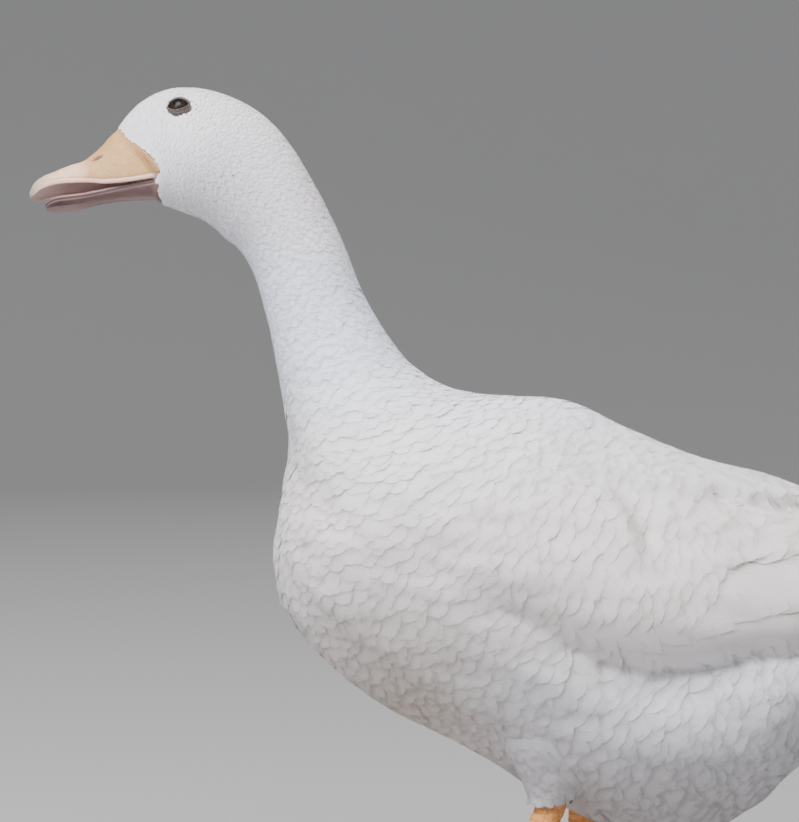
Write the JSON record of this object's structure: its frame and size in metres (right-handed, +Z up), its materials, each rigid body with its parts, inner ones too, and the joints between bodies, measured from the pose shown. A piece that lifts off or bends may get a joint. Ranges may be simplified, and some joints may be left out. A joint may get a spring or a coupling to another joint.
{
  "type": "duck",
  "caption": "Life-size standing white domestic duck with its neck raised, head tipped a little, bill slightly open, wings folded and webbed feet flat on the floor.",
  "frame": {"origin": "on the floor, under the middle of the bird's length and width", "axes": "+Z up, the bill towards -X and the tail towards +X, the bird's right side towards +Y"},
  "size_m": [0.5452, 0.199, 0.4451],
  "materials": {
    "plumage": "matt white feathers",
    "bill_horn": "satin, pale orange",
    "tongue_skin": "damp, pink",
    "eye_dark": "wet gloss, near black",
    "leg_skin": "scaly, orange"
  },
  "bodies": {
    "root": {"head": "plumage", "neck_upper": "plumage", "neck_lower": "plumage", "trunk": "plumage", "tail": "plumage", "wing_left": "plumage", "wing_right": "plumage", "primaries_left": "plumage", "primaries_right": "plumage", "thigh_left": "plumage", "thigh_right": "plumage", "bill_upper": "bill_horn", "bill_lower": "bill_horn", "tongue": "tongue_skin", "eye_left": "eye_dark", "eye_right": "eye_dark", "shank_left": "leg_skin", "shank_right": "leg_skin", "foot_left": "leg_skin", "foot_right": "leg_skin", "hind_toe_left": "leg_skin", "hind_toe_right": "leg_skin"}
  },
  "joints": []
}
